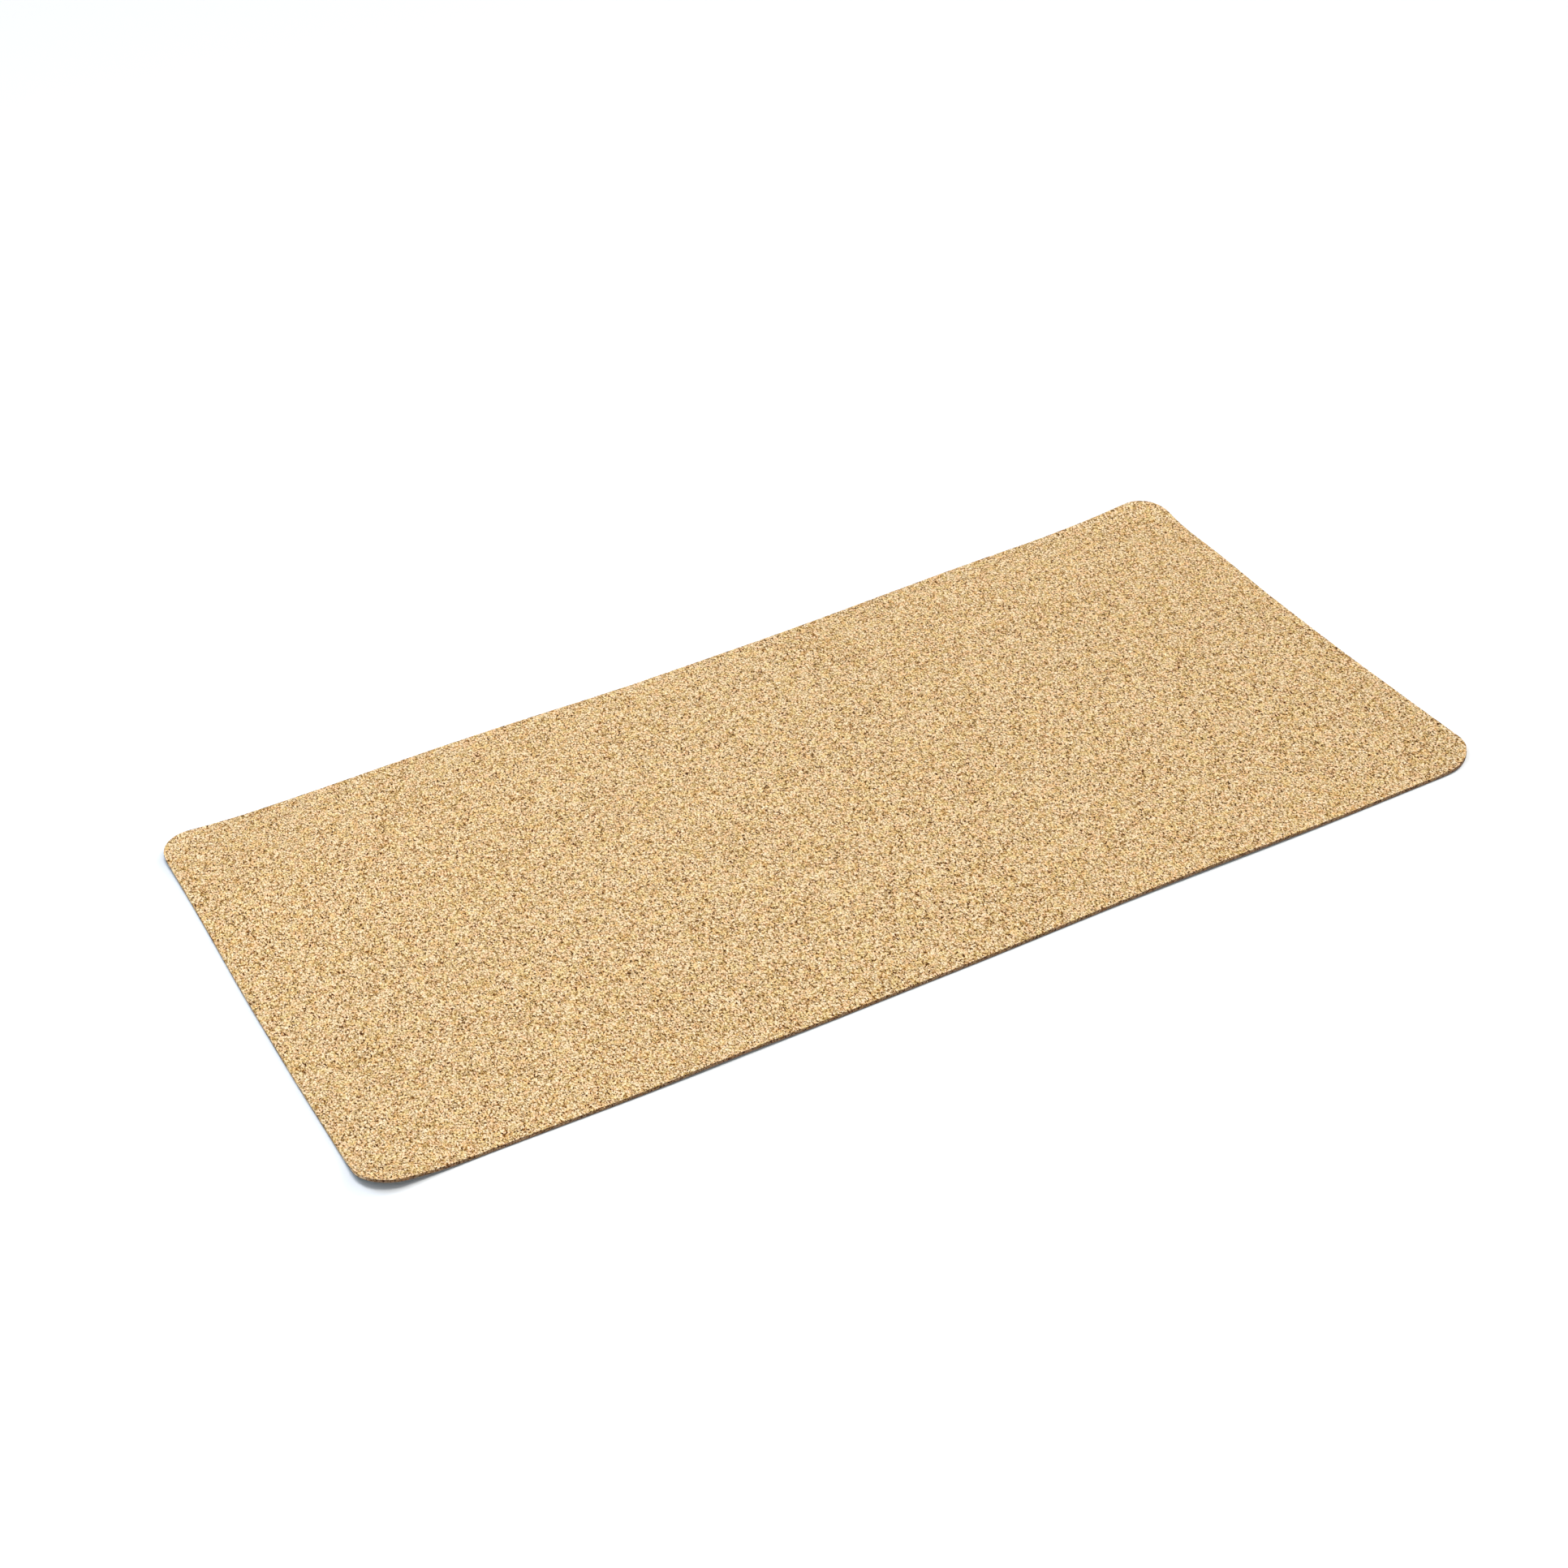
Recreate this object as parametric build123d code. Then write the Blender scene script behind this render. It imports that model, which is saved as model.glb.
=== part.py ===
from build123d import *
import os

# Desk mat: a sheet of pressed cork granules laminated to a thin coated-cloth backing.
# Millimetres, +Z up. The origin is the centre of the underside, where the mat lies on the desk.
# +X runs along the long side, and +Y along the short side, away from the person at the desk.

# Finished mat
MAT_LENGTH = 795.0
MAT_WIDTH = 400.0
MAT_THICKNESS = 3.0
CORNER_RADIUS = 25.0

# Layers under the cork, from the desk up
SKIN_THICKNESS = 0.25
CLOTH_THICKNESS = 0.35
FILM_THICKNESS = 0.10

# The cork makes up the rest of the mat's thickness
CORK_THICKNESS = MAT_THICKNESS - SKIN_THICKNESS - CLOTH_THICKNESS - FILM_THICKNESS

# The adhesive stops short of the cut edge, so that none squeezes out
FILM_INSET = 0.5

# The cork's upper edge is eased by handling, not knife sharp
ARRIS_RADIUS = 0.2


def sheet(bottom, thickness, inset=0.0):
    """A flat sheet with rounded corners, whose lower face is at the height bottom."""
    length = MAT_LENGTH - 2 * inset
    width = MAT_WIDTH - 2 * inset
    outline = RectangleRounded(length, width, CORNER_RADIUS - inset)
    return Pos(0, 0, bottom) * extrude(outline, amount=thickness)


def backing_skin():
    """The coated skin that grips the desk."""
    return sheet(0.0, SKIN_THICKNESS)


def backing_cloth():
    """The textile that carries the skin."""
    return sheet(SKIN_THICKNESS, CLOTH_THICKNESS)


def bond_film():
    """The adhesive between the cloth and the cork."""
    return sheet(SKIN_THICKNESS + CLOTH_THICKNESS, FILM_THICKNESS, FILM_INSET)


def cork_sheet():
    """The cork working layer, with its upper edge eased all round."""
    cork = sheet(MAT_THICKNESS - CORK_THICKNESS, CORK_THICKNESS)
    working_face = cork.faces().sort_by(Axis.Z)[-1]
    return fillet(working_face.edges(), ARRIS_RADIUS)


def main():
    """Writes one STEP file for each layer."""
    os.makedirs("parts", exist_ok=True)
    for make in (backing_skin, backing_cloth, bond_film, cork_sheet):
        name = make.__name__
        layer = make()
        layer.label = name
        export_step(layer, f"parts/{name}.step")


main()
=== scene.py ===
import math
from collections import namedtuple

import bmesh
import bpy
import numpy as np
from mathutils import Matrix, Vector, noise


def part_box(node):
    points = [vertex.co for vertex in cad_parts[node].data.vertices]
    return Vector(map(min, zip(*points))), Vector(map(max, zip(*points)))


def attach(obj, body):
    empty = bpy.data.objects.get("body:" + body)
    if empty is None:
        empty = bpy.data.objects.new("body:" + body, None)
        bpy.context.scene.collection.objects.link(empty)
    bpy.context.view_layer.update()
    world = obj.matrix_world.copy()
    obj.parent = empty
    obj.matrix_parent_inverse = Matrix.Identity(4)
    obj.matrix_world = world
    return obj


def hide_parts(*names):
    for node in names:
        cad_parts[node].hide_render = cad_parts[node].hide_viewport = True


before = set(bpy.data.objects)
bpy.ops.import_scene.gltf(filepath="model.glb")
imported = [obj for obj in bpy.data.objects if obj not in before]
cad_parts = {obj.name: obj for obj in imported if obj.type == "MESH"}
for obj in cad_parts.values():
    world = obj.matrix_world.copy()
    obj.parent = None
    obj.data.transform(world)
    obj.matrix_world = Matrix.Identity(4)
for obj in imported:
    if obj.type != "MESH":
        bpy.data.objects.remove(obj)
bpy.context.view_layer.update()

MM = 0.001

# The mat's plan, from the frame; the corner radius is the one that the mat is cut to
cork_low, cork_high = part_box("cork_sheet")
HALF_LENGTH = cork_high.x
HALF_WIDTH = cork_high.y
CORNER_RADIUS = 25 * MM

# Mesh cells: coarse across the flat faces, and FINE_SPLIT times finer along the cut edge. Points nearer to
# each other than WELD_REACH are joined.
COARSE_CELL = 3.5 * MM
FINE_SPLIT = 4
WELD_REACH = 0.001 * MM

# The white sheet under the mat isn't quite flat, and the mat lies along it. Each swell is a low smooth
# mound, or a dip where rise is below zero: x and y are its middle, reach_x and reach_y how far it
# spreads, and rise its height.
Swell = namedtuple("Swell", "x y reach_x reach_y rise")
SWELLS = (
    Swell(-386 * MM, -176 * MM, 226 * MM, 116 * MM, 4.2 * MM),
    Swell(-397 * MM, -200 * MM, 80 * MM, 80 * MM, -2.0 * MM),
    Swell(110 * MM, -200 * MM, 110 * MM, 90 * MM, 0.9 * MM),
    Swell(260 * MM, -200 * MM, 110 * MM, 90 * MM, -0.7 * MM),
    Swell(-376 * MM, 137 * MM, 240 * MM, 138 * MM, 7.6 * MM),
    Swell(-175 * MM, 200 * MM, 150 * MM, 90 * MM, 3.1 * MM),
    Swell(270 * MM, 187 * MM, 230 * MM, 91 * MM, 3.8 * MM),
    Swell(397 * MM, 111 * MM, 120 * MM, 77 * MM, 2.0 * MM),
    Swell(409 * MM, -157 * MM, 48 * MM, 141 * MM, 2.7 * MM),
)

# Where the mat's front edge stands clear of the sheet
RIPPLES = (
    Swell(-160 * MM, -200 * MM, 80 * MM, 60 * MM, 1.1 * MM),
    Swell(190 * MM, -200 * MM, 120 * MM, 60 * MM, 1.0 * MM),
)

# Each corner of the mat curls up off the sheet beyond a slanting fold line. side_x and side_y name the
# corner, rise is the height that its sharp corner would reach, and along_x and along_y are where the
# fold line crosses the mat's two edges, measured from that corner.
Curl = namedtuple("Curl", "side_x side_y rise along_x along_y")
CURLS = (
    Curl(-1, -1, 11.0 * MM, 75 * MM, 60 * MM),
    Curl(+1, -1, 2.9 * MM, 40 * MM, 90 * MM),
    Curl(+1, +1, 10.0 * MM, 122 * MM, 60 * MM),
    Curl(-1, +1, 5.3 * MM, 71 * MM, 76 * MM),
)


# ---------------------------------------------------------------- how the mat lies

def mounds(swells, x, y):
    """The height of smooth mounds and dips at each point of the plan."""
    height = np.zeros_like(x)
    for swell in swells:
        along = np.clip((x - swell.x) / swell.reach_x, -1, 1)
        across = np.clip((y - swell.y) / swell.reach_y, -1, 1)
        height += swell.rise * (np.cos(along * math.pi / 2) * np.cos(across * math.pi / 2)) ** 2
    return height


def lift(x, y):
    """The height of the mat's underside: the sheet under it, its ripples and its curled corners."""
    height = mounds(SWELLS + RIPPLES, x, y)
    for curl in CURLS:
        from_x = HALF_LENGTH - curl.side_x * x
        from_y = HALF_WIDTH - curl.side_y * y
        beyond_fold = np.clip(1 - from_x / curl.along_x - from_y / curl.along_y, 0, None)
        height += curl.rise * beyond_fold ** 2
    return height


# ---------------------------------------------------------------- meshes of the layers

def cells(length):
    """The number of coarse mesh cells along a length."""
    return round(length / COARSE_CELL)


def spine(split):
    """The path that every ring round the mat is offset from, and the way that each point is offset.

    It runs counter-clockwise through the centres of the four corner arcs, and stays at each centre
    while the offset turns through the arc. split is the number of points to one coarse cell.
    """
    half_x = HALF_LENGTH - CORNER_RADIUS
    half_y = HALF_WIDTH - CORNER_RADIUS
    centres = [(half_x, half_y), (-half_x, half_y), (-half_x, -half_y), (half_x, -half_y)]
    side_cells = [cells(2 * half_y), cells(2 * half_x)] * 2
    arc_points = cells(CORNER_RADIUS * math.pi / 2) * split
    path = []
    facing = []
    for turn in range(4):
        start = np.array(centres[turn - 1])
        end = np.array(centres[turn])
        side_points = side_cells[turn] * split
        for step in range(side_points):
            path.append(start + (end - start) * step / side_points)
            facing.append(turn * math.pi / 2)
        for step in range(arc_points):
            path.append(end)
            facing.append((turn + step / arc_points) * math.pi / 2)
    normals = np.column_stack([np.cos(facing), np.sin(facing)])
    return np.array(path), normals


SPINES = {split: spine(split) for split in (1, FINE_SPLIT)}


# A cut edge: the size of its tears, how deep they and its pits are, and how far in they fade out
Edge = namedtuple("Edge", "grain depth pit_depth fade")
SKIN_EDGE = Edge(1.2 * MM, 0.02 * MM, 0.0, 1 * MM)
CLOTH_EDGE = Edge(0.6 * MM, 0.06 * MM, 0.0, 1 * MM)
FILM_EDGE = Edge(2.5 * MM, 0.15 * MM, 0.0, 2 * MM)
CORK_EDGE = Edge(0.9 * MM, 0.1 * MM, 1.6 * MM, 1.5 * MM)

# Fine tears are this many times smaller than a tear of the grain's size, and this share as deep. Pits are
# larger, and there is one only where their own noise, taken from another place, is over PIT_START.
FINE_TEARS = 2.3
FINE_DEPTH = 0.5
PIT_SCALE = 0.45
PIT_PLACE = Vector((7, 3, 5))
PIT_START = 0.32


def tearing(points, edge):
    """How far the cut edge stands in or out at each point: fine tearing, and pits of lost granules."""
    offsets = np.empty(len(points))
    for index, point in enumerate(points):
        place = Vector(point) / edge.grain
        torn = noise.noise(place) + FINE_DEPTH * noise.noise(place * FINE_TEARS)
        pit = max(0.0, noise.noise(place * PIT_SCALE + PIT_PLACE) - PIT_START)
        offsets[index] = edge.depth * torn - edge.pit_depth * pit
    return offsets


# One ring round a layer: how far it lies inside the outline, its height, and its points to a coarse cell
Ring = namedtuple("Ring", "inset level split")


def ring_points(ring, edge):
    """The points of one ring round a layer, torn where it is near the cut edge."""
    path, normals = SPINES[ring.split]
    plan = path + normals * (CORNER_RADIUS - ring.inset)
    points = np.column_stack([plan, np.full(len(plan), ring.level)])
    share = max(0.0, 1 - ring.inset / edge.fade)
    if share > 0:
        points[:, :2] += normals * share * tearing(points, edge)[:, None]
    return points


def even_band(first, second, count):
    """Faces between two rings of count points each, given by their first vertices."""
    faces = []
    for step in range(count):
        after = (step + 1) % count
        faces.append((first + step, second + step, second + after, first + after))
    return faces


def splitting_band(coarse, fine, coarse_count, split):
    """Triangles between a coarse ring and a fine one that has split times its points, given by their
    first vertices."""
    fine_count = coarse_count * split
    middle = split // 2
    faces = []
    for step in range(coarse_count):
        here = coarse + step
        beyond = coarse + (step + 1) % coarse_count
        row = [fine + (step * split + k) % fine_count for k in range(split + 1)]
        faces += [(here, row[k], row[k + 1]) for k in range(middle)]
        faces.append((here, row[middle], beyond))
        faces += [(beyond, row[k], row[k + 1]) for k in range(middle, split)]
    return faces


def band(first, first_count, second, second_count):
    """Faces between two rings, the upper or outer one first, given by their first vertex and count."""
    if first_count == second_count:
        return even_band(first, second, first_count)
    if first_count < second_count:
        return splitting_band(first, second, first_count, second_count // first_count)
    faces = splitting_band(second, first, second_count, first_count // second_count)
    return [tuple(reversed(face)) for face in faces]


def middle_grid(level):
    """Points and faces of the rectangle between the centres of the corner arcs."""
    half_x = HALF_LENGTH - CORNER_RADIUS
    half_y = HALF_WIDTH - CORNER_RADIUS
    columns = cells(2 * half_x)
    rows = cells(2 * half_y)
    xs = np.linspace(-half_x, half_x, columns + 1)
    ys = np.linspace(-half_y, half_y, rows + 1)
    points = [(x, y, level) for y in ys for x in xs]
    faces = []
    for row in range(rows):
        for column in range(columns):
            corner = row * (columns + 1) + column
            faces.append((corner, corner + 1, corner + columns + 2, corner + columns + 1))
    return points, faces


def sheet_shape(rings, edge):
    """Points and faces of a flat sheet of the mat's outline: rings from the middle of its upper face round
    its cut edge to the middle of its lower face, and the two middles."""
    points = []
    faces = []
    starts = []
    for ring in rings:
        starts.append((len(points), len(SPINES[ring.split][0])))
        points += ring_points(ring, edge).tolist()
    for (first, first_count), (second, second_count) in zip(starts, starts[1:]):
        faces += band(first, first_count, second, second_count)
    for ring, upper in ((rings[0], True), (rings[-1], False)):
        base = len(points)
        grid_points, grid_faces = middle_grid(ring.level)
        points += grid_points
        for face in grid_faces:
            moved = [base + corner for corner in face]
            faces.append(moved if upper else moved[::-1])
    return np.array(points), faces


def layer(name, rings, edge):
    """A closed sheet, laid as the mat lies."""
    points, faces = sheet_shape(rings, edge)
    points[:, 2] += lift(points[:, 0], points[:, 1])
    mesh = bpy.data.meshes.new(name)
    mesh.from_pydata(points.tolist(), [], faces)
    weld(mesh)
    mesh.polygons.foreach_set("use_smooth", [True] * len(mesh.polygons))
    made = bpy.data.objects.new(name, mesh)
    bpy.context.scene.collection.objects.link(made)
    return made


def weld(mesh):
    """Joins the points that meet where the rings reach the corner centres and the middle."""
    work = bmesh.new()
    work.from_mesh(mesh)
    bmesh.ops.remove_doubles(work, verts=work.verts, dist=WELD_REACH)
    bmesh.ops.recalc_face_normals(work, faces=work.faces)
    work.to_mesh(mesh)
    work.free()


# How far the rings of a flat face lie inside its outline: coarse ones from where the corner arcs shrink to
# a point, and fine ones near the cut edge
FACE_RINGS = 7
FACE_INSETS = [CORNER_RADIUS - COARSE_CELL * step for step in range(FACE_RINGS)]
FINE_INSETS = [2.2 * MM, 1.2 * MM, 0.5 * MM]

# The rounding of the cork's upper edge: its size, and how far round it each ring lies, in degrees
CORK_ARRIS = 0.2 * MM
ARRIS_ANGLES = (15, 45, 75)


def flat_rings(level, inset=0.0):
    """Rings over one flat face, from the middle out to just inside the cut edge."""
    coarse = [Ring(each, level, 1) for each in FACE_INSETS]
    fine = [Ring(inset + each, level, FINE_SPLIT) for each in FINE_INSETS]
    return coarse + fine


def sheet_rings(low, high, wall_rows=1, arris=0.0, inset=0.0):
    """Rings of a whole sheet from its middle above to its middle below. wall_rows is the number of mesh
    rows down its cut edge, and arris the size of the rounding on its upper edge."""
    rings = flat_rings(high, inset)
    if arris > 0:
        for angle in map(math.radians, ARRIS_ANGLES):
            out = arris * (1 - math.sin(angle))
            down = arris * (1 - math.cos(angle))
            rings.append(Ring(inset + out, high - down, FINE_SPLIT))
    top_of_wall = high - arris
    for row in range(wall_rows + 1):
        level = top_of_wall + (low - top_of_wall) * row / wall_rows
        rings.append(Ring(inset, level, FINE_SPLIT))
    rings += [Ring(ring.inset, low, ring.split) for ring in reversed(flat_rings(low, inset))]
    return rings


# ---------------------------------------------------------------- node helpers

WHITE = (1.0, 1.0, 1.0, 1.0)


def srgb(red, green, blue):
    """A linear colour from the 0 to 255 values that a colour picker shows."""
    def linear(value):
        share = value / 255
        return share / 12.92 if share <= 0.04045 else ((share + 0.055) / 1.055) ** 2.4
    return (linear(red), linear(green), linear(blue), 1.0)


def start_material(name):
    """A new material, its node tree and its shader."""
    material = bpy.data.materials.new(name)
    material.use_nodes = True
    tree = material.node_tree
    return material, tree, tree.nodes["Principled BSDF"]


def add_node(tree, kind, inputs=None, **settings):
    """Adds a node, sets its properties, and joins or sets each of its inputs."""
    made = tree.nodes.new(kind)
    for name, value in settings.items():
        setattr(made, name, value)
    for name, value in (inputs or {}).items():
        if isinstance(value, bpy.types.NodeSocket):
            tree.links.new(value, made.inputs[name])
        else:
            made.inputs[name].default_value = value
    return made


def calculate(tree, operation, first, second=0.0, third=0.0):
    """One step of arithmetic on up to three values."""
    inputs = {0: first, 1: second, 2: third}
    return add_node(tree, "ShaderNodeMath", inputs, operation=operation).outputs[0]


def weigh(tree, first, second, share):
    """The sum of two values, with this share of the first one and the rest of the second one."""
    rest = calculate(tree, "MULTIPLY", second, 1 - share)
    return calculate(tree, "MULTIPLY_ADD", first, share, rest)


def calculate_vector(tree, operation, first, second):
    """One step of arithmetic on two vectors."""
    return add_node(tree, "ShaderNodeVectorMath", {0: first, 1: second}, operation=operation).outputs[0]


def blend_colours(tree, share, first, second, blend="MIX"):
    """Mixes the second colour into the first one by share."""
    inputs = {0: share, 6: first, 7: second}
    return add_node(tree, "ShaderNodeMix", inputs, data_type="RGBA", blend_type=blend).outputs[2]


def fade_between(tree, value, start, end):
    """0 where value is start, 1 where it is end, and a smooth step between them."""
    inputs = {"Value": value, "From Min": start, "From Max": end}
    return add_node(tree, "ShaderNodeMapRange", inputs, interpolation_type="SMOOTHSTEP").outputs[0]


def colour_ramp(tree, value, stops):
    """Colours along stops of (position, colour)."""
    made = add_node(tree, "ShaderNodeValToRGB", {0: value})
    elements = made.color_ramp.elements
    while len(elements) < len(stops):
        elements.new(0.5)
    for element, (position, colour) in zip(elements, stops):
        element.position = position
        element.color = colour
    return made.outputs[0]


def millimetres(tree):
    """The place on the piece, in millimetres, so that every pattern's scale is a count per millimetre."""
    place = add_node(tree, "ShaderNodeTexCoord").outputs["Object"]
    return calculate_vector(tree, "MULTIPLY", place, (1 / MM,) * 3)


def clouds(tree, place, size, detail=1.0, offset=0.0):
    """Soft noise from 0 to 1 whose blobs are about size millimetres across. Another offset gives other
    blobs."""
    moved = calculate_vector(tree, "ADD", place, (offset,) * 3)
    inputs = {"Vector": moved, "Scale": 1 / size, "Detail": detail}
    return add_node(tree, "ShaderNodeTexNoise", inputs).outputs["Fac"]


def granules(tree, place, size, feature="F1"):
    """A cell pattern whose granules are about size millimetres across."""
    inputs = {"Vector": place, "Scale": 1 / size}
    return add_node(tree, "ShaderNodeTexVoronoi", inputs, feature=feature)


def one_channel(tree, colour, channel):
    """One channel of a colour, as a random value for each granule."""
    return add_node(tree, "ShaderNodeSeparateColor", {0: colour}).outputs[channel]


def add_bump(tree, shader, height, depth):
    """Turns a height from 0 to 1 into a bump depth millimetres deep."""
    inputs = {"Height": height, "Distance": depth * MM, "Strength": 1.0}
    made = add_node(tree, "ShaderNodeBump", inputs)
    tree.links.new(made.outputs[0], shader.inputs["Normal"])


# ---------------------------------------------------------------- cork

# The sizes of the two kinds of granule in millimetres, and how closely they are packed along the mat, across
# it and through it
LARGE_GRANULE = 1.7
SMALL_GRANULE = 0.9
GRANULE_LIE = (1.3, 0.85, 1.0)

# Granules are torn, not rounded: the noise that bends their outlines, in blobs to a millimetre
TEAR_SCALE = 0.9

# A granule's tone: its value in the middle, how fast it falls towards the next granule, which is painted
# shade of the granule's dome, and how much it differs from one large and from one small granule to another
MIDDLE_TONE = 0.715
DOME_SHADE_FALL = -0.95
LARGE_SPREAD = 0.10
SMALL_SPREAD = 0.30

# Small granules whose random value is over these are amber all through
AMBER_FADE = (0.70, 0.90)
AMBER_TINT = srgb(255, 238, 214)

# Patterns of noise: the size of their blobs in millimetres, the offset that the noise is taken at, and the
# values of the noise between which they fade in
Pattern = namedtuple("Pattern", "size offset start end")
CHIPS = Pattern(1.2, 23.0, 0.60, 0.70)
CREVICES = Pattern(1.1, 53.0, 0.73, 0.80)
FLECKS = Pattern(1.4, 97.0, 0.614, 0.638)

# How far a chip covers the granules with its own colour, and how much crevices keep to where granules meet
CHIP_COVER = 0.7
CREVICE_PULL = 0.3
CREVICE_TINT = srgb(160, 126, 75)

# A bark fleck's stain, from the outside of its amber rim to its middle
FLECK_STOPS = [(0.592, WHITE), (FLECKS.start, srgb(238, 204, 134)), (FLECKS.end, srgb(92, 54, 8))]

# Slow shifts of hue, towards pink and towards yellow
TINTED_PATCHES = (
    (Pattern(5.0, 31.0, 0.45, 0.65), srgb(255, 242, 234)),
    (Pattern(6.0, 67.0, 0.45, 0.65), srgb(253, 251, 229)),
)

# The relief: its depth in millimetres, the share of it that is uneven heights of large granules and not the
# domes of small ones, and how deep the flecks are sunk in it
CORK_RELIEF = 0.15
UNEVEN_SHARE = 0.5
FLECK_DEPTH = 0.6

# The cork's gloss: its least roughness, how much more of it some small granules have, and its specular level
CORK_ROUGHNESS = 0.62
ROUGHNESS_SPREAD = 0.2
CORK_SPECULAR = 0.15

# How far a normal turns towards the mat's long sides before the painted shade on their cut faces starts and
# is complete
LONG_SIDE_SHADE_FADE = (0.25, 0.75)

# Where a point lies in the granule pattern, its distances from the middles of its large and small granules,
# and random values of those granules
Grain = namedtuple("Grain", "laid large small large_tone small_tone small_hue")


def find_granules(tree, place):
    """The large granules, and the small ones that break them up."""
    inputs = {"Vector": place, "Scale": TEAR_SCALE, "Detail": 2.0}
    bend = add_node(tree, "ShaderNodeTexNoise", inputs).outputs["Color"]
    centred = calculate_vector(tree, "SUBTRACT", bend, (0.5,) * 3)
    bent = calculate_vector(tree, "ADD", centred, place)
    laid = calculate_vector(tree, "MULTIPLY", bent, GRANULE_LIE)
    large = granules(tree, laid, LARGE_GRANULE)
    small = granules(tree, laid, SMALL_GRANULE)
    return Grain(
        laid=laid,
        large=large.outputs["Distance"],
        small=small.outputs["Distance"],
        large_tone=one_channel(tree, large.outputs["Color"], "Red"),
        small_tone=one_channel(tree, small.outputs["Color"], "Green"),
        small_hue=one_channel(tree, small.outputs["Color"], "Blue"),
    )


def pattern_noise(tree, place, pattern):
    """The noise that a pattern is made from."""
    return clouds(tree, place, pattern.size, offset=pattern.offset)


def pattern_share(tree, noise_value, pattern):
    """0 where there is nothing of a pattern and 1 where it is complete."""
    return fade_between(tree, noise_value, pattern.start, pattern.end)


def colour_granules(tree, grain, tones):
    """Gives each granule its own tone, paler in its middle than where it meets the next: painted shade of
    its dome. Some granules are amber all through."""
    # Painted shade: the tone falls from each granule's middle towards its edge, as on a lit dome
    tone = calculate(tree, "MULTIPLY_ADD", grain.large, DOME_SHADE_FALL, MIDDLE_TONE)
    tone = calculate(tree, "MULTIPLY_ADD", grain.large_tone, LARGE_SPREAD, tone)
    tone = calculate(tree, "MULTIPLY_ADD", grain.small_tone, SMALL_SPREAD, tone)
    colour = colour_ramp(tree, tone, tones)
    amber = fade_between(tree, grain.small_hue, *AMBER_FADE)
    return blend_colours(tree, amber, colour, AMBER_TINT, "MULTIPLY")


def tint_patches(tree, place, colour):
    """Tints patches a few millimetres across."""
    for pattern, tint in TINTED_PATCHES:
        share = pattern_share(tree, pattern_noise(tree, place, pattern), pattern)
        colour = blend_colours(tree, share, colour, tint, "MULTIPLY")
    return colour


def add_chips(tree, grain, colour, pale):
    """Adds pale chips."""
    chip = pattern_share(tree, pattern_noise(tree, grain.laid, CHIPS), CHIPS)
    return blend_colours(tree, calculate(tree, "MULTIPLY", chip, CHIP_COVER), colour, pale)


def add_crevices(tree, grain, colour):
    """Adds ragged dark crevices, most of them where granules meet."""
    ragged = pattern_noise(tree, grain.laid, CREVICES)
    depth = calculate(tree, "MULTIPLY_ADD", grain.large, CREVICE_PULL, ragged)
    return blend_colours(tree, pattern_share(tree, depth, CREVICES), colour, CREVICE_TINT, "MULTIPLY")


def add_flecks(tree, grain, colour):
    """Adds flecks of bark with amber rims. Also returns where the flecks are."""
    shape = pattern_noise(tree, grain.laid, FLECKS)
    stained = blend_colours(tree, 1.0, colour, colour_ramp(tree, shape, FLECK_STOPS), "MULTIPLY")
    return stained, pattern_share(tree, shape, FLECKS)


def shade_long_sides(tree, colour, side_shade):
    """Darkens what faces straight out of the mat's two long sides with painted shade."""
    normal = add_node(tree, "ShaderNodeTexCoord").outputs["Normal"]
    across = add_node(tree, "ShaderNodeSeparateXYZ", {0: normal}).outputs["Y"]
    share = fade_between(tree, calculate(tree, "ABSOLUTE", across), *LONG_SIDE_SHADE_FADE)
    return blend_colours(tree, share, colour, side_shade, "MULTIPLY")


def shape_granules(tree, shader, grain, fleck):
    """The relief: domed granules of uneven height, with sunk flecks."""
    dome = calculate(tree, "SUBTRACT", 1.0, grain.small)
    height = weigh(tree, grain.large_tone, dome, UNEVEN_SHARE)
    sunk = calculate(tree, "MULTIPLY", fleck, FLECK_DEPTH)
    add_bump(tree, shader, calculate(tree, "SUBTRACT", height, sunk), CORK_RELIEF)


def cork(name, tones, pale, long_side_shade=WHITE):
    """Pressed cork granules. tones are the granules' colours from dark to light, pale is the colour of
    the lightest chips, and the last argument is the painted shade laid on the cut faces of the mat's two
    long sides."""
    material, tree, shader = start_material(name)
    place = millimetres(tree)
    grain = find_granules(tree, place)
    colour = colour_granules(tree, grain, tones)
    colour = tint_patches(tree, place, colour)
    colour = add_chips(tree, grain, colour, pale)
    colour = add_crevices(tree, grain, colour)
    colour, fleck = add_flecks(tree, grain, colour)
    # Painted shade on the cut faces of the long sides
    colour = shade_long_sides(tree, colour, long_side_shade)
    tree.links.new(colour, shader.inputs["Base Color"])
    shape_granules(tree, shader, grain, fleck)
    roughness = calculate(tree, "MULTIPLY_ADD", grain.small_tone, ROUGHNESS_SPREAD, CORK_ROUGHNESS)
    tree.links.new(roughness, shader.inputs["Roughness"])
    shader.inputs["Specular IOR Level"].default_value = CORK_SPECULAR
    return material


def cork_face():
    """The sanded working face."""
    tones = [
        (0.20, srgb(192, 163, 111)),
        (0.40, srgb(214, 188, 143)),
        (0.60, srgb(233, 209, 170)),
        (0.80, srgb(252, 231, 201)),
    ]
    return cork("cork_face", tones, pale=srgb(255, 236, 206))


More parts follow.
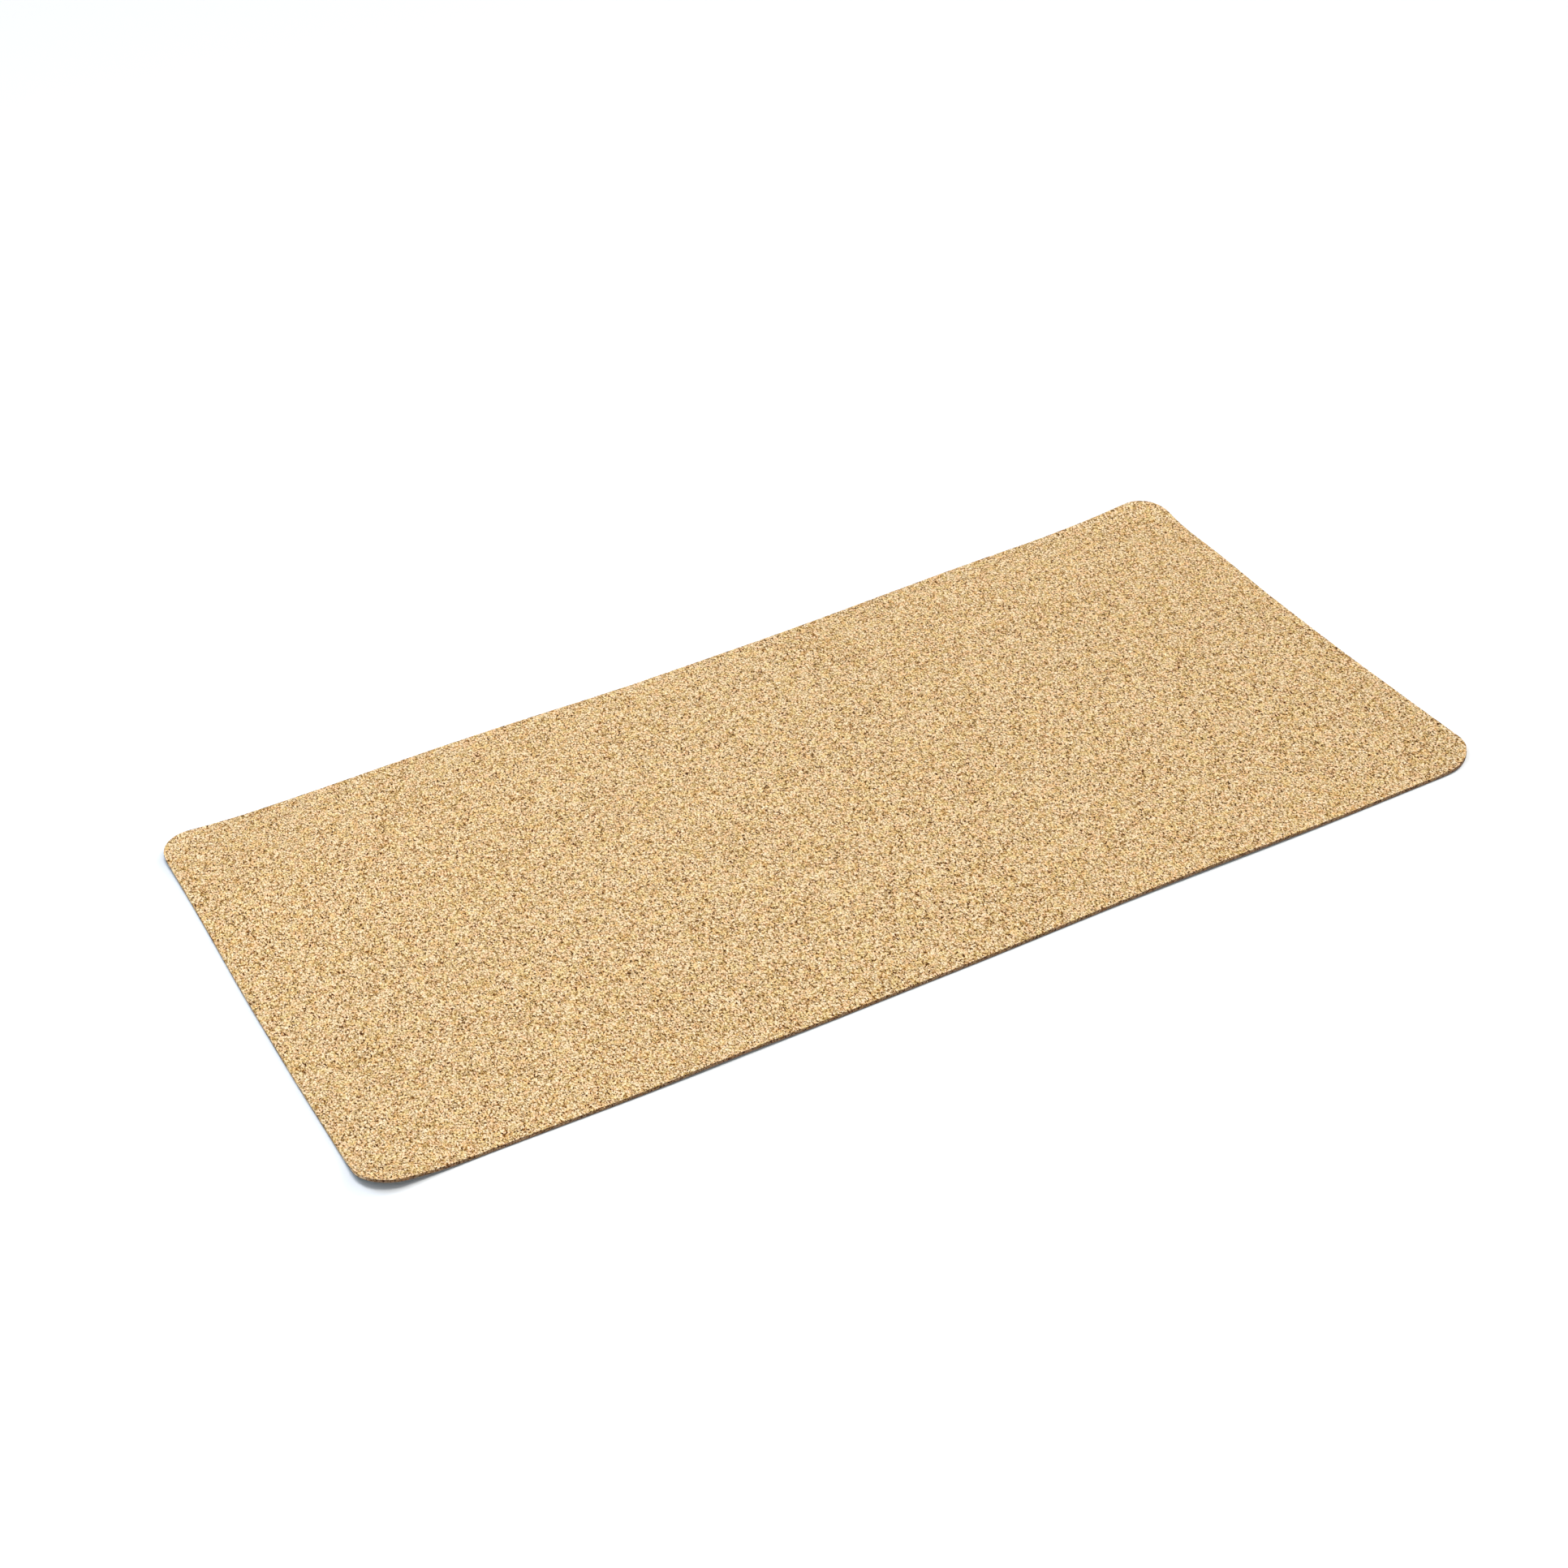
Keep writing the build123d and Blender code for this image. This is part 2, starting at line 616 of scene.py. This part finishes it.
def cork_cut():
    """The cut edge, lighter on the short sides than along the long ones, which are darkened with painted
    shade.
    """
    tones = [
        (0.20, srgb(188, 160, 122)),
        (0.50, srgb(222, 192, 152)),
        (0.80, srgb(244, 218, 180)),
    ]
    # The long sides' colour is painted shade, which darkens their cut faces
    return cork("cork_cut", tones, pale=srgb(250, 226, 190), long_side_shade=srgb(152, 141, 134))


# ---------------------------------------------------------------- backing and adhesive

# The skin's least roughness, and how much more of it its blotches have
SKIN_ROUGHNESS = 0.45
SKIN_ROUGHNESS_SPREAD = 0.2

# How many millimetres the weave of the cloth repeats over
WEAVE_PITCH = 0.5

# The noise of the adhesive's streaks is drawn out along the mat
STREAK_LIE = (0.1, 1.0, 1.0)


def coated_skin():
    """The grey polyurethane skin that grips the desk, with a fine pebble grain."""
    material, tree, shader = start_material("coated_skin")
    place = millimetres(tree)
    pebble = granules(tree, place, size=1.1, feature="DISTANCE_TO_EDGE").outputs["Distance"]
    crown = fade_between(tree, pebble, start=0.0, end=0.25)
    blotch = clouds(tree, place, size=40.0, detail=3.0)
    value = weigh(tree, crown, blotch, share=0.5)
    colour = colour_ramp(tree, value, [(0.2, srgb(80, 78, 74)), (0.8, srgb(104, 101, 96))])
    tree.links.new(colour, shader.inputs["Base Color"])
    fine = clouds(tree, place, size=0.3, detail=2.0)
    add_bump(tree, shader, weigh(tree, fine, crown, share=0.2), depth=0.08)
    worn = calculate(tree, "MULTIPLY_ADD", blotch, SKIN_ROUGHNESS_SPREAD, SKIN_ROUGHNESS)
    tree.links.new(worn, shader.inputs["Roughness"])
    return material


def carrier_cloth():
    """The plain-woven grey textile between the skin and the adhesive."""
    material, tree, shader = start_material("carrier_cloth")
    place = millimetres(tree)
    turns = 2 * math.pi / WEAVE_PITCH
    parts = add_node(tree, "ShaderNodeSeparateXYZ", {0: place}).outputs
    warp = calculate(tree, "SINE", calculate(tree, "MULTIPLY", parts["X"], turns))
    weft = calculate(tree, "SINE", calculate(tree, "MULTIPLY", parts["Y"], turns))
    weave = calculate(tree, "MULTIPLY_ADD", calculate(tree, "MULTIPLY", warp, weft), 0.5, 0.5)
    fuzz = clouds(tree, place, size=0.25, detail=3.0)
    value = weigh(tree, weave, fuzz, share=0.6)
    colour = colour_ramp(tree, value, [(0.2, srgb(84, 79, 73)), (0.8, srgb(124, 117, 108))])
    tree.links.new(colour, shader.inputs["Base Color"])
    add_bump(tree, shader, value, depth=0.1)
    shader.inputs["Roughness"].default_value = 0.9
    return material


def dried_adhesive():
    """The cream adhesive, streaked as it was rolled on."""
    material, tree, shader = start_material("dried_adhesive")
    place = millimetres(tree)
    streaks = calculate_vector(tree, "MULTIPLY", place, STREAK_LIE)
    value = clouds(tree, streaks, size=2.0, detail=3.0)
    colour = colour_ramp(tree, value, [(0.3, srgb(176, 164, 136)), (0.7, srgb(206, 196, 170))])
    tree.links.new(colour, shader.inputs["Base Color"])
    add_bump(tree, shader, value, depth=0.05)
    shader.inputs["Roughness"].default_value = 0.4
    return material


# ---------------------------------------------------------------- the mat

# A face whose normal's upward part is under this belongs to the cut edge
STEEP = 0.5


def cut_edge_faces(made, slot):
    """Gives the material in a slot to the faces of the cut edge, which are steeper than the rest."""
    for polygon in made.data.polygons:
        if abs(polygon.normal.z) < STEEP:
            polygon.material_index = slot


def place_layer(made, node):
    """Puts a layer on the mat's one body, in place of its plain CAD node."""
    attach(made, "root")
    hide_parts(node)


def levels(node):
    """The heights of a node's lower and upper faces."""
    low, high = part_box(node)
    return low.z, high.z


def build_skin():
    """The coated skin, which lies on the desk."""
    rings = sheet_rings(*levels("backing_skin"))
    made = layer("coated_skin_sheet", rings, SKIN_EDGE)
    made.data.materials.append(coated_skin())
    place_layer(made, "backing_skin")


def build_cloth():
    """The textile that carries the skin; its cut threads make its edge uneven."""
    rings = sheet_rings(*levels("backing_cloth"), wall_rows=2)
    made = layer("carrier_cloth_sheet", rings, CLOTH_EDGE)
    made.data.materials.append(carrier_cloth())
    place_layer(made, "backing_cloth")


def build_film():
    """The adhesive, which stops short of the cut edge."""
    inset = HALF_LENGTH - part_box("bond_film")[1].x
    rings = sheet_rings(*levels("bond_film"), inset=inset)
    made = layer("adhesive_film", rings, FILM_EDGE)
    made.data.materials.append(dried_adhesive())
    place_layer(made, "bond_film")


def build_cork():
    """The cork sheet, with an eased and slightly crumbled upper edge."""
    rings = sheet_rings(*levels("cork_sheet"), wall_rows=6, arris=CORK_ARRIS)
    made = layer("cork_top_sheet", rings, CORK_EDGE)
    made.data.materials.append(cork_face())
    made.data.materials.append(cork_cut())
    cut_edge_faces(made, 1)
    place_layer(made, "cork_sheet")


# ---------------------------------------------------------------- floor, light and camera

# The camera looks at a point near the mat's middle, from its front left and above, tilted a little
CAMERA_TARGET = Vector((-4.6, 35.8, 0.0)) * MM
CAMERA_AZIMUTH = -24.31
CAMERA_ELEVATION = 35.75
CAMERA_ROLL = -5.35
CAMERA_DISTANCE = 2.0440
CAMERA_LENS = 69.15
CAMERA_SENSOR = 36.0

# The studio's colours from its left to its right, how bright it is overhead and in front, what share of
# that it has beyond the mat's back edge, and how bright its white walls are, low down all round
STUDIO_SIDES = [(0.0, (0.78, 0.90, 0.99, 1.0)), (1.0, (1.20, 1.13, 1.07, 1.0))]
STUDIO_STRENGTH = 1.05
STUDIO_BACK = 0.05
STUDIO_WALLS = 1.05

# Where each of these starts and is complete, along the x, y or z of the direction that is looked in
SIDES_FADE = (-0.8, 0.8)
BACK_FADE = (-0.2, 0.4)
CEILING_FADE = (0.3, 0.75)
WALLS_FADE = (0.27, 0.22)

# Square studio lights aimed at the mat's middle: where each one stands in degrees and metres, the length
# of its side in metres and its power in watts
Softbox = namedtuple("Softbox", "name azimuth elevation distance size power colour")
SOFTBOXES = (
    Softbox("key_light", 15, 68, 40.0, 8.8, 6020, (1.03, 1.0, 0.95)),
    Softbox("right_light", 90, 38, 40.0, 16.0, 5070, (1.06, 1.0, 0.94)),
    Softbox("left_light", -110, 67, 1.6, 0.8, 7.3, (0.87, 1.0, 1.22)),
)

# The white sheet reaches far past the view, in fine cells out to FLOOR_MARGIN past the mat, and lies
# FLOOR_GAP under it
FLOOR_COLOUR = (0.90, 0.92, 0.94, 1.0)
FLOOR_REACH = 100.0
FLOOR_MARGIN = 300 * MM
FLOOR_CELL = 5 * MM
FLOOR_GAP = 0.4 * MM


def direction(azimuth, elevation):
    """The unit vector towards an azimuth and elevation; azimuth 0 is in front of the mat, 90 its right."""
    turn = math.radians(azimuth)
    rise = math.radians(elevation)
    return Vector((math.sin(turn) * math.cos(rise), -math.cos(turn) * math.cos(rise), math.sin(rise)))


def add_camera():
    """The camera, at the angle that the mat is shown from."""
    back = direction(CAMERA_AZIMUTH, CAMERA_ELEVATION)
    level_right = Vector((0, 0, 1)).cross(back).normalized()
    level_up = back.cross(level_right)
    roll = math.radians(CAMERA_ROLL)
    right = level_right * math.cos(roll) + level_up * math.sin(roll)
    up = level_up * math.cos(roll) - level_right * math.sin(roll)
    placed = Matrix((right, up, back)).transposed().to_4x4()
    placed.translation = CAMERA_TARGET + back * CAMERA_DISTANCE
    lens = bpy.data.cameras.new("camera")
    lens.lens = CAMERA_LENS
    lens.sensor_width = CAMERA_SENSOR
    camera = bpy.data.objects.new("camera", lens)
    camera.matrix_world = placed
    bpy.context.scene.collection.objects.link(camera)
    bpy.context.scene.camera = camera


def add_softbox(softbox):
    """Adds one studio light."""
    lamp = bpy.data.lights.new(softbox.name, "AREA")
    lamp.shape = "SQUARE"
    lamp.size = softbox.size
    lamp.energy = softbox.power
    lamp.color = softbox.colour
    made = bpy.data.objects.new(softbox.name, lamp)
    towards = direction(softbox.azimuth, softbox.elevation)
    made.location = towards * softbox.distance
    made.rotation_euler = towards.to_track_quat("Z", "Y").to_euler()
    bpy.context.scene.collection.objects.link(made)


def add_surroundings():
    """A studio with low white walls and a soft ceiling, bluer on its left, warmer on its right and
    dark beyond the mat's back edge."""
    world = bpy.data.worlds.new("studio")
    world.use_nodes = True
    tree = world.node_tree
    towards = add_node(tree, "ShaderNodeTexCoord").outputs["Generated"]
    parts = add_node(tree, "ShaderNodeSeparateXYZ", {0: towards}).outputs
    colour = colour_ramp(tree, fade_between(tree, parts["X"], *SIDES_FADE), STUDIO_SIDES)
    rearward = fade_between(tree, parts["Y"], *BACK_FADE)
    dimming = calculate(tree, "MULTIPLY_ADD", rearward, STUDIO_BACK - 1, 1.0)
    overhead = calculate(tree, "MULTIPLY", fade_between(tree, parts["Z"], *CEILING_FADE), STUDIO_STRENGTH)
    ceiling = calculate(tree, "MULTIPLY", dimming, overhead)
    walls = fade_between(tree, parts["Z"], *WALLS_FADE)
    colour = blend_colours(tree, walls, colour, WHITE)
    background = tree.nodes["Background"]
    tree.links.new(colour, background.inputs["Color"])
    strength = calculate(tree, "MULTIPLY_ADD", walls, STUDIO_WALLS, ceiling)
    tree.links.new(strength, background.inputs["Strength"])
    bpy.context.scene.world = world
    bpy.context.scene.view_settings.view_transform = "Standard"


def floor_lines(half):
    """Grid lines across the floor: close together around the mat and then one far away."""
    near = half + FLOOR_MARGIN
    close = np.linspace(-near, near, round(2 * near / FLOOR_CELL) + 1)
    return np.concatenate([[-FLOOR_REACH], close, [FLOOR_REACH]])


def add_floor():
    """The white sheet that the mat lies on."""
    material, tree, shader = start_material("white_floor")
    shader.inputs["Base Color"].default_value = FLOOR_COLOUR
    shader.inputs["Roughness"].default_value = 0.9
    shader.inputs["Specular IOR Level"].default_value = 0.1
    across, along = np.meshgrid(floor_lines(HALF_LENGTH), floor_lines(HALF_WIDTH))
    rows, columns = across.shape
    height = mounds(SWELLS, across, along) - FLOOR_GAP
    points = np.column_stack([across.ravel(), along.ravel(), height.ravel()])
    corners = [row * columns + column for row in range(rows - 1) for column in range(columns - 1)]
    faces = [(corner, corner + 1, corner + columns + 1, corner + columns) for corner in corners]
    mesh = bpy.data.meshes.new("floor")
    mesh.from_pydata(points.tolist(), [], faces)
    mesh.polygons.foreach_set("use_smooth", [True] * len(mesh.polygons))
    mesh.materials.append(material)
    floor = bpy.data.objects.new("floor", mesh)
    bpy.context.scene.collection.objects.link(floor)


add_camera()
add_floor()
add_surroundings()
for softbox in SOFTBOXES:
    add_softbox(softbox)

build_skin()
build_cloth()
build_film()
build_cork()
